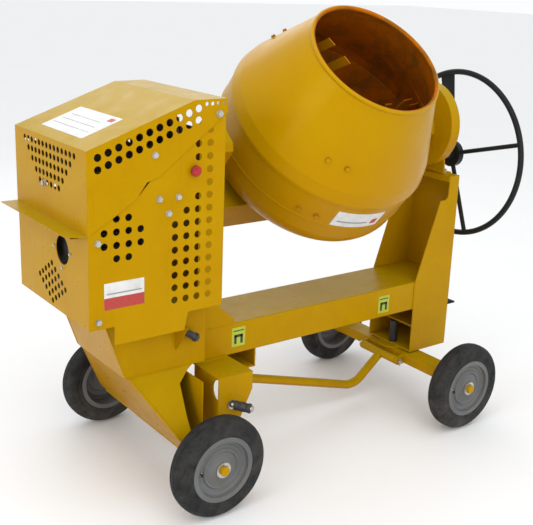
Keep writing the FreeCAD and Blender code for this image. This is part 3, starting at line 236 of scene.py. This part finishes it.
def tyre_rubber(name):
    """Worn black rubber with mud towards the ground."""
    g = Graph(name)
    height = g.split(g.place)[2]
    worn = g.ramp(g.noise(26.0, 8.0, 0.7, 0.5), 0.35, 0.75)
    tone = g.mix(worn, (0.012, 0.0125, 0.013), (0.036, 0.036, 0.035))
    patches = g.ramp(g.noise(9.0, 8.0, 0.65, 0.7), 0.45, 0.7)
    mud = g.math("MULTIPLY", patches, g.ramp(height, 0.36, 0.0, 0.1, 0.8))
    tone = g.mix(g.math("MULTIPLY", mud, 0.7), tone, (0.13, 0.112, 0.09))
    scuff = g.ramp(g.noise(70.0, 5.0, 0.7, 0.0, (1.0, 4.0, 1.0)), 0.62, 0.74)
    tone = g.mix(g.math("MULTIPLY", scuff, 0.3), tone, (0.11, 0.11, 0.107))
    g.set("Base Color", tone)
    g.set("Roughness", g.ramp(g.noise(40.0, 4.0), 0.3, 0.7, 0.55, 0.85))
    g.set("Specular IOR Level", 0.15)
    grain = g.math("ADD", g.noise(180.0, 5.0, 0.7), g.math("MULTIPLY", g.noise(30.0, 4.0), 1.5))
    g.bump(grain, 0.0014, 0.6, g.round_normal(0.003))
    return g.material


def rubber(name, colour=(0.02, 0.02, 0.021), scale=300.0):
    """Moulded rubber or plastic with scuffed patches."""
    g = Graph(name)
    scuffed = tuple(2.6 * c + 0.01 for c in colour)
    tone = g.mix(g.ramp(g.noise(40.0, 6.0, 0.7), 0.4, 0.75), colour, scuffed)
    g.set("Base Color", tone)
    g.set("Roughness", g.ramp(g.noise(60.0, 4.0), 0.3, 0.7, 0.42, 0.7))
    g.bump(g.noise(scale, 4.0, 0.6), 0.0005, 0.6, g.round_normal(0.0012))
    return g.material


def drum_paint(name, colour, deep, painted_shade, inside_shade):
    """Drum paint: dusty haze outside, deeper orange painted shade low down, inside dull with
    painted shade and concrete.
    """
    g = Graph(name)
    cloud = g.ramp(g.noise(4.0, 6.0, 0.6, 0.8), 0.3, 0.7)
    tone = g.mix(cloud, colour, deep)
    level = g.split(g.place)[2]
    # Painted shade: the drum's lower part takes a deeper orange.
    tone = g.mix(g.ramp(level, 1.16, 0.78), tone, painted_shade)
    haze = g.math("MULTIPLY", g.ramp(g.noise(13.0, 8.0, 0.7, 0.6), 0.5, 0.75), 0.10)
    tone = g.mix(haze, tone, (0.36, 0.22, 0.03))
    streak = g.ramp(g.noise(10.0, 6.0, 0.7, 0.2, (2.5, 0.6, 0.6)), 0.6, 0.8)
    tone = g.mix(g.math("MULTIPLY", streak, 0.2), tone, tuple(0.5 * c for c in deep))
    inside = g.facing_axis(DRUM_CENTRE, DRUM_AXIS)
    # Painted shade inside the drum: a deep orange, patched with leftover concrete.
    inside_shade_and_residue = g.mix(g.ramp(g.noise(9.0, 9.0, 0.7, 1.0), 0.42, 0.66), inside_shade, (0.17, 0.075, 0.012))
    tone = g.mix(inside, tone, inside_shade_and_residue)
    worn = g.math("MULTIPLY", g.edge_mask(0.002), g.ramp(g.noise(50.0, 6.0, 0.7), 0.48, 0.66))
    speck = g.ramp(g.noise(110.0, 3.0), 0.71, 0.75)
    speck = g.math("MULTIPLY", speck, g.ramp(g.noise(6.0, 2.0), 0.5, 0.6))
    chips = g.math("ADD", g.math("MULTIPLY", worn, 0.35), g.math("MULTIPLY", speck, 0.5))
    chips = g.math("MINIMUM", chips, 1.0)
    tone = g.mix(chips, tone, RUST)
    g.set("Base Color", tone)
    dull = g.math("ADD", g.math("ADD", haze, chips), g.math("MULTIPLY", inside, 0.5))
    sheen = g.ramp(g.noise(15.0, 5.0), 0.3, 0.7, 0.27, 0.40)
    g.set("Roughness", g.math("ADD", sheen, g.math("MULTIPLY", dull, 0.5)))
    g.set("Specular IOR Level", 0.2)
    g.set("Specular Tint", YELLOW_GLOSS)
    g.set("Coat Weight", 0.03)
    g.set("Coat Roughness", 0.15)
    ripple = g.math("ADD", g.math("MULTIPLY", g.noise(380.0, 2.0), 0.2), g.noise(7.0, 3.0))
    g.bump(ripple, 0.0012, 0.45, g.round_normal(0.002))
    return g.material


# The drum's axis and the middle of its band, at rest.
TILT = math.radians(41.4)
DRUM_AXIS = Vector((0.0, -math.sin(TILT), math.cos(TILT)))
DRUM_CENTRE = Vector((0.195, 0.0, 1.126))

YELLOW = (0.455, 0.250, 0.0002)
YELLOW_DEEP = (0.425, 0.218, 0.0002)
# Painted top light: a greener colour for faces turned up.
YELLOW_TOP_LIT = (0.400, 0.252, 0.0002)
# Painted shade: a deeper orange for faces turned down.
YELLOW_UNDERSIDE_SHADE = (0.400, 0.185, 0.0002)
DRUM_DEEP = (0.440, 0.225, 0.0002)
# Painted shade: a deeper orange for the drum's lower part.
DRUM_LOW_SHADE = (0.440, 0.200, 0.0002)
# Painted shade: a deep orange for the inside of the drum.
DRUM_INSIDE_SHADE = (0.480, 0.120, 0.0004)
LIBRARY = {
    "yellow_paint": paint(
        "machine_yellow", YELLOW, YELLOW_DEEP, YELLOW_TOP_LIT, YELLOW_UNDERSIDE_SHADE, YELLOW_GLOSS
    ),
    "drum_paint": drum_paint("drum_yellow", YELLOW, DRUM_DEEP, DRUM_LOW_SHADE, DRUM_INSIDE_SHADE),
    "black_paint": paint(
        "black_paint", (0.012, 0.012, 0.013), (0.02, 0.02, 0.021),
        dustiness=0.25, gloss=0.28, rust=0.35,
    ),
    "rim_paint": paint(
        "rim_grey", (0.155, 0.158, 0.160), (0.11, 0.112, 0.115), dust=(0.17, 0.14, 0.10),
        dustiness=0.75, gloss=0.38, rust=0.5, ground=0.5,
    ),
    "tyre_rubber": tyre_rubber("tyre_rubber"),
    "grip_rubber": rubber("grip_rubber"),
    "belt_rubber": rubber("belt_rubber", (0.03, 0.03, 0.03), 160.0),
    "zinc": metal("zinc_plate", (0.62, 0.60, 0.54), (0.42, 0.40, 0.35), 0.3, rust=0.35),
    "bare_steel": metal(
        "bare_steel", (0.42, 0.41, 0.39), (0.26, 0.25, 0.24), 0.36, rust=0.5,
        grain=(6.0, 1.0, 1.0),
    ),
    "cast_iron": metal("cast_iron", (0.10, 0.10, 0.105), (0.05, 0.05, 0.052), 0.6, 0.6, 0.4),
    "dark_steel": metal(
        "dark_steel", (0.035, 0.034, 0.034), (0.02, 0.02, 0.02), 0.5, 0.4, 0.35
    ),
    "red_plastic": rubber("red_plastic", (0.22, 0.004, 0.004), 120.0),
}

slot_of = {row["node"]: row["material_slot"] for row in frame["record"]["subparts"]}
for name, thing in NODES.items():
    thing.data.materials.clear()
    thing.data.materials.append(LIBRARY[slot_of[name]])

# ---------------------------------------------------------------- floor, light, camera

FLOOR_REACH = 45.0
FLOOR_DROP = 0.0005
bm = bmesh.new()
bmesh.ops.create_grid(bm, x_segments=24, y_segments=24, size=FLOOR_REACH)
floor_mesh = bpy.data.meshes.new("floor")
bm.to_mesh(floor_mesh)
bm.free()
floor = bpy.data.objects.new("floor", floor_mesh)
bpy.context.scene.collection.objects.link(floor)
floor.location.z = -FLOOR_DROP
ground = Graph("pale_floor")
pale = ground.mix(ground.noise(1.5, 3.0), (0.86, 0.86, 0.855), (0.89, 0.89, 0.885))
ground.set("Base Color", pale)
ground.set("Roughness", 0.75)
floor.data.materials.append(ground.material)

world = bpy.data.worlds.new("studio")
bpy.context.scene.world = world
world.use_nodes = True
backdrop = world.node_tree.nodes["Background"]
backdrop.inputs["Color"].default_value = (0.97, 0.985, 1.0, 1.0)
backdrop.inputs["Strength"].default_value = 1.0


def softbox(name, place, aim, size, power):
    """A rectangular studio lamp, in metres and watts."""
    lamp = bpy.data.lights.new(name, "AREA")
    lamp.shape = "RECTANGLE"
    lamp.size, lamp.size_y = size
    lamp.energy = power
    thing = bpy.data.objects.new(name, lamp)
    thing.location = place
    thing.rotation_mode = "QUATERNION"
    thing.rotation_quaternion = (Vector(aim) - Vector(place)).to_track_quat("-Z", "Y")
    bpy.context.scene.collection.objects.link(thing)


softbox("top_light", (-1.2, -1.2, 4.6), (0, 0, 0.8), (4.0, 3.0), 48.0)
softbox("side_light", (-1.0, -4.8, 2.9), (0, 0, 0.8), (2.6, 2.2), 50.0)
softbox("end_light", (-4.8, -1.2, 2.2), (0, 0, 0.8), (2.0, 2.0), 36.0)
softbox("back_light", (1.5, 4.0, 3.2), (0, 0, 0.9), (3.0, 2.0), 20.0)

# The photograph's viewpoint, solved from the object's straight edges and circles.
CAMERA_PLACE = (-1.9679, -2.5679, 1.6646)
CAMERA_RIGHT = (0.80549, -0.5915, 0.0362)
CAMERA_FORWARD = (0.57701, 0.7689, -0.2754)
camera_data = bpy.data.cameras.new("camera")
camera = bpy.data.objects.new("camera", camera_data)
bpy.context.scene.collection.objects.link(camera)
right = Vector(CAMERA_RIGHT).normalized()
forward = Vector(CAMERA_FORWARD).normalized()
up = right.cross(forward)
turn = Matrix((right, up, -forward)).transposed()
camera.matrix_world = Matrix.Translation(CAMERA_PLACE) @ turn.to_4x4()
camera_data.lens = 62.57
camera_data.sensor_width = 36.0
camera_data.shift_x = -0.0025
camera_data.shift_y = -0.0402
camera_data.clip_start = 0.05
camera_data.clip_end = 100.0
bpy.context.scene.camera = camera
bpy.context.scene.view_settings.view_transform = "Standard"

# ---------------------------------------------------------------- added pieces


def add_piece(name, bm, material, body, smooth=True):
    """Turns a bmesh in the frame's coordinates into a piece that rides on a body."""
    bmesh.ops.recalc_face_normals(bm, faces=bm.faces)
    mesh = bpy.data.meshes.new(name)
    bm.to_mesh(mesh)
    bm.free()
    for face in mesh.polygons:
        face.use_smooth = smooth
    mesh.materials.append(material)
    thing = bpy.data.objects.new(name, mesh)
    bpy.context.scene.collection.objects.link(thing)
    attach(thing, body)
    return thing


def lathe(bm, profile, centre, axis, segments):
    """A closed (radius, distance) outline turned about an axis."""
    side = axis.orthogonal().normalized()
    other = axis.cross(side)
    rings = []
    for step in range(segments):
        angle = 2 * math.pi * step / segments
        out = side * math.cos(angle) + other * math.sin(angle)
        rings.append([bm.verts.new(centre + out * r + axis * d) for r, d in profile])
    count = len(profile)
    for step in range(segments):
        near, far = rings[step], rings[(step + 1) % segments]
        for k in range(count):
            after = (k + 1) % count
            bm.faces.new((near[k], near[after], far[after], far[k]))


def soft_corners(points, radius, steps=3):
    """Rounds each corner of a closed outline of 2-D points."""
    result = []
    count = len(points)
    for k in range(count):
        here = Vector(points[k])
        before = Vector(points[k - 1]) - here
        after = Vector(points[(k + 1) % count]) - here
        bite = min(radius, before.length * 0.45, after.length * 0.45)
        start, end = here + before.normalized() * bite, here + after.normalized() * bite
        for step in range(steps + 1):
            t = step / steps
            result.append(tuple(start * (1 - t) ** 2 + here * 2 * t * (1 - t) + end * t ** 2))
    return result


def plate(bm, outline, origin, across, upward, thickness):
    """A thin plate from a 2-D outline, standing on origin and thickened along across x upward."""
    out = across.cross(upward).normalized()
    low = [bm.verts.new(origin + across * u + upward * v) for u, v in outline]
    high = [bm.verts.new(vert.co + out * thickness) for vert in low]
    bm.faces.new(high)
    bm.faces.new(list(reversed(low)))
    count = len(outline)
    for k in range(count):
        after = (k + 1) % count
        bm.faces.new((low[k], low[after], high[after], high[k]))


def rectangle(low, high, corner):
    """The outline of a rectangle with rounded corners."""
    (left, bottom), (right_edge, top) = low, high
    corners = [(left, bottom), (right_edge, bottom), (right_edge, top), (left, top)]
    return soft_corners(corners, corner)


BEAD_STEP = 0.0016
BEAD_SIDES = 8


def weld(name, path, body, width):
    """A rippled, painted weld bead along a path of straight runs."""
    points = []
    for start, end in zip(path, path[1:]):
        start, end = Vector(start), Vector(end)
        count = max(2, int((end - start).length / BEAD_STEP))
        points += [(start.lerp(end, k / count), (end - start).normalized()) for k in range(count)]
    points.append((Vector(path[-1]), points[-1][1]))
    bm = bmesh.new()
    rings = []
    wander = random.Random(len(name))
    for number, (spot, run) in enumerate(points):
        side = run.orthogonal().normalized()
        other = run.cross(side)
        ripple = 0.86 + 0.2 * abs(math.sin(number * 0.75)) + wander.uniform(-0.04, 0.04)
        ends = 0.35 if number in (0, len(points) - 1) else 1.0
        radius = width * ripple * ends
        rings.append([
            bm.verts.new(spot + side * radius * math.cos(a) + other * radius * math.sin(a))
            for a in (2 * math.pi * k / BEAD_SIDES for k in range(BEAD_SIDES))
        ])
    for near, far in zip(rings, rings[1:]):
        for k in range(BEAD_SIDES):
            after = (k + 1) % BEAD_SIDES
            bm.faces.new((near[k], near[after], far[after], far[k]))
    bm.faces.new(rings[0])
    bm.faces.new(list(reversed(rings[-1])))
    add_piece(name, bm, LIBRARY["yellow_paint"], body)


# Half of the tyre's cross-section, from bead to tread, and the valve stem's: (radius, distance).
TYRE_OUTLINE = [
    (0.098, -0.0300), (0.110, -0.0300), (0.1100, -0.0338), (0.1130, -0.0350), (0.1180, -0.0352),
    (0.1200, -0.0345), (0.1290, -0.0345), (0.1305, -0.0354), (0.1345, -0.0354), (0.1360, -0.0346),
    (0.1440, -0.0343), (0.1500, -0.0330), (0.1560, -0.0300), (0.1605, -0.0262), (0.1640, -0.0215),
    (0.1660, -0.0170), (0.1671, -0.0128), (0.1674, -0.0110), (0.1660, -0.0102), (0.1660, -0.0080),
    (0.1676, -0.0072), (0.1680, -0.0030),
]
STEM_OUTLINE = [
    (0.0001, 0.0), (0.0048, 0.0), (0.0048, 0.006), (0.0036, 0.008), (0.0036, 0.020),
    (0.0042, 0.021), (0.0042, 0.027), (0.0030, 0.029), (0.0001, 0.029),
]
STEM_PLACE = Vector((-0.075, 0.0, 0.0))
STEM_START = 0.004


def tyre_and_stem(corner):
    """A grooved tyre in place of the CAD's plain one, and the valve stem of its wheel."""
    low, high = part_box("tyre_" + corner)
    centre = (low + high) / 2
    body = "wheel_" + corner
    profile = TYRE_OUTLINE + [(radius, -distance) for radius, distance in reversed(TYRE_OUTLINE)]
    bm = bmesh.new()
    lathe(bm, profile, centre, Y_AXIS, 144)
    tyre = add_piece("tyre_detail_" + corner, bm, LIBRARY["tyre_rubber"], body)
    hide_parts("tyre_" + corner)
    outward = Y_AXIS if centre.y > 0 else -Y_AXIS
    bm = bmesh.new()
    lathe(bm, STEM_OUTLINE, centre + STEM_PLACE + outward * STEM_START, outward, 20)
    add_piece("valve_stem_" + corner, bm, LIBRARY["grip_rubber"], body)


for corner in ("rear_near", "rear_far", "front_near", "front_far"):
    tyre_and_stem(corner)


def flat_paint(name, colour, worn):
    """Printed film: a plain colour that is scuffed and dusty in places."""
    g = Graph(name)
    tone = g.mix(g.ramp(g.noise(26.0, 7.0, 0.7), 0.45, 0.75), colour, worn)
    scratch = g.ramp(g.noise(120.0, 4.0, 0.7, 0.0, (0.3, 1.0, 3.0)), 0.66, 0.72)
    g.set("Base Color", g.mix(g.math("MULTIPLY", scratch, 0.4), tone, (0.35, 0.30, 0.22)))
    g.set("Roughness", g.ramp(g.noise(50.0, 3.0), 0.3, 0.7, 0.25, 0.45))
    g.bump(g.noise(90.0, 3.0), 0.0002, 0.4)
    return g.material


FILM_WHITE = flat_paint("film_white", (0.68, 0.68, 0.67), (0.52, 0.50, 0.46))
FILM_RED = flat_paint("film_red", (0.42, 0.030, 0.022), (0.30, 0.05, 0.04))
FILM_GREY = flat_paint("film_grey", (0.22, 0.23, 0.24), (0.32, 0.31, 0.29))
FILM_LIME = flat_paint("film_lime", (0.42, 0.50, 0.02), (0.36, 0.38, 0.03))
FILM_BLACK = flat_paint("film_black", (0.015, 0.015, 0.015), (0.06, 0.055, 0.045))


FILM_THICKNESS = 0.0004
FILM_CORNER = 0.0025


def film(name, parts, origin, across, upward, body):
    """A label of thin plates: (material, low corner, high corner, height above the surface)."""
    out = across.cross(upward).normalized()
    for number, (material, low, high, lift) in enumerate(parts):
        bm = bmesh.new()
        outline = rectangle(low, high, FILM_CORNER)
        plate(bm, outline, origin + out * lift, across, upward, FILM_THICKNESS)
        add_piece(f"{name}_{number}", bm, material, body, smooth=False)


casing_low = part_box("lower_canopy")[0]
film(
    "side_badge",
    [
        (FILM_WHITE, (0.0, 0.0), (0.132, 0.082), 0.0001),
        (FILM_GREY, (0.008, 0.046), (0.124, 0.050), 0.0004),
        (FILM_RED, (0.0, 0.0), (0.132, 0.036), 0.0004),
    ],
    Vector((casing_low.x + 0.0707, casing_low.y, casing_low.z + 0.116)), X_AXIS, Z_AXIS, "chassis",
)
beam_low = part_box("main_beam")[0]
for number, (start, base) in enumerate(((0.138, 0.026), (0.825, 0.018))):
    film(
        f"beam_sticker_{number}",
        [
            (FILM_LIME, (0.0, 0.0), (0.056, 0.070), 0.0001),
            (FILM_BLACK, (0.010, 0.010), (0.020, 0.042), 0.0004),
            (FILM_BLACK, (0.036, 0.010), (0.046, 0.042), 0.0004),
            (FILM_BLACK, (0.010, 0.034), (0.046, 0.044), 0.0004),
            (FILM_BLACK, (0.006, 0.056), (0.050, 0.060), 0.0004),
        ],
        Vector((beam_low.x + start, beam_low.y, beam_low.z + base)), X_AXIS, Z_AXIS, "chassis",
    )

# The hood's label lies on the slope that runs up from the hood's front edge.
slope_start = Vector((-0.869, 0.0, 1.181))
slope_run = Vector((0.352, 0.0, 0.125)).normalized()
lines = [
    (
        FILM_GREY,
        (0.020 + 0.004 * k, 0.034 + 0.030 * k),
        (0.262 - 0.018 * k, 0.0365 + 0.030 * k),
        0.0005,
    )
    for k in range(3)
]
film(
    "hood_label",
    [(FILM_WHITE, (0.0, 0.0), (0.285, 0.142), 0.0002)] + lines
    + [(FILM_RED, (0.235, 0.110), (0.268, 0.130), 0.0005)],
    slope_start + slope_run * 0.045 + Vector((0.0, 0.145, 0.0)), -Y_AXIS, slope_run, "hood",
)

# A label bent round the lower band of the drum.
drum_across = Vector((0.0, math.cos(TILT), math.sin(TILT)))


def drum_point(radius, level, degrees):
    angle = math.radians(degrees)
    outward = X_AXIS * radius * math.cos(angle) + drum_across * radius * math.sin(angle)
    return DRUM_CENTRE + DRUM_AXIS * level + outward


DRUM_FILM_THICKNESS = 0.0005


def drum_film(name, material, levels, span, radius, steps=24):
    """A plate bent round the drum between two levels and two angles in degrees."""
    bm = bmesh.new()
    outer = radius + DRUM_FILM_THICKNESS
    grid = []
    for k in range(steps + 1):
        degrees = span[0] + (span[1] - span[0]) * k / steps
        grid.append([
            bm.verts.new(drum_point(r, level, degrees))
            for r, level in ((radius, levels[0]), (outer, levels[0]),
                             (outer, levels[1]), (radius, levels[1]))
        ])
    for near, far in zip(grid, grid[1:]):
        for k in range(4):
            after = (k + 1) % 4
            bm.faces.new((near[k], near[after], far[after], far[k]))
    bm.faces.new(grid[0])
    bm.faces.new(list(reversed(grid[-1])))
    add_piece(name, bm, material, "drum", smooth=False)


drum_film("drum_label_base", FILM_WHITE, (-0.052, 0.024), (-113.0, -83.5), 0.3864)
drum_film("drum_label_bar", FILM_GREY, (-0.030, -0.024), (-110.5, -92.0), 0.3869)
drum_film("drum_label_mark", FILM_RED, (-0.036, -0.010), (-89.5, -86.0), 0.3869)

# Weld beads. Each pair is on the near and the far side of the machine.
beam_side, beam_start = beam_low.y, beam_low.x
# The rear axle's centre, and the radius of the bead round it.
AXLE_X, AXLE_Z, AXLE_BEAD = -0.499, 0.168, 0.0245
AXLE_WELD = [
    (AXLE_X + AXLE_BEAD * math.cos(angle), AXLE_Z + AXLE_BEAD * math.sin(angle))
    for angle in (2 * math.pi * k / 24 for k in range(25))
]
SIDES = (("near", -1), ("far", 1))
for label, side in SIDES:
    pedestal_y = side * (0.001 - beam_side)
    weld(
        f"weld_pedestal_{label}",
        [(0.6085, pedestal_y, 0.399), (0.6085, pedestal_y, 0.511)],
        "chassis", 0.0032,
    )
for label, side in SIDES:
    weld(
        f"weld_left_foot_{label}",
        [(beam_start + 0.004, side * 0.1165, 0.512), (-0.258, side * 0.1165, 0.512)],
        "chassis", 0.0028,
    )
    weld(
        f"weld_carrier_{label}",
        [(-0.6945, side * 0.171, 0.4255), (-0.538, side * 0.3355, 0.166)],
        "chassis", 0.0034,
    )
    weld(
        f"weld_base_{label}",
        [(-0.7075, side * 0.170, 0.4285), (-0.414, side * 0.170, 0.4285)],
        "chassis", 0.0026,
    )
    weld(
        f"weld_bracket_{label}",
        [(-0.417, side * 0.1185, 0.3965), (-0.286, side * 0.1185, 0.3965)],
        "chassis", 0.003,
    )
    weld(
        f"weld_base_corner_{label}",
        [(-0.7085, side * 0.1695, 0.432), (-0.784, side * 0.1695, 0.646)],
        "chassis", 0.0026,
    )
    weld(
        f"weld_axle_{label}", [(x, side * 0.3355, z) for x, z in AXLE_WELD], "chassis", 0.0026
    )
    weld(
        f"weld_king_{label}",
        [(0.5925, side * 0.0995, 0.2045), (0.5925, side * 0.1085, 0.2045)],
        "front_axle", 0.003,
    )


def cradle_point(x, across, along):
    sideways = X_AXIS * (x - DRUM_CENTRE.x)
    return DRUM_CENTRE + sideways + drum_across * across + DRUM_AXIS * along


for label, x, front in (("left", -0.2436, -0.064), ("right", 0.6737, -0.0795)):
    weld(
        f"weld_cradle_{label}",
        [cradle_point(x, -0.064, -0.2395), cradle_point(x, 0.064, -0.2395)], "cradle", 0.0034,
    )
    weld(
        f"weld_cradle_front_{label}",
        [cradle_point(x, front, -0.345), cradle_point(x, front, -0.240)], "cradle", 0.003,
    )
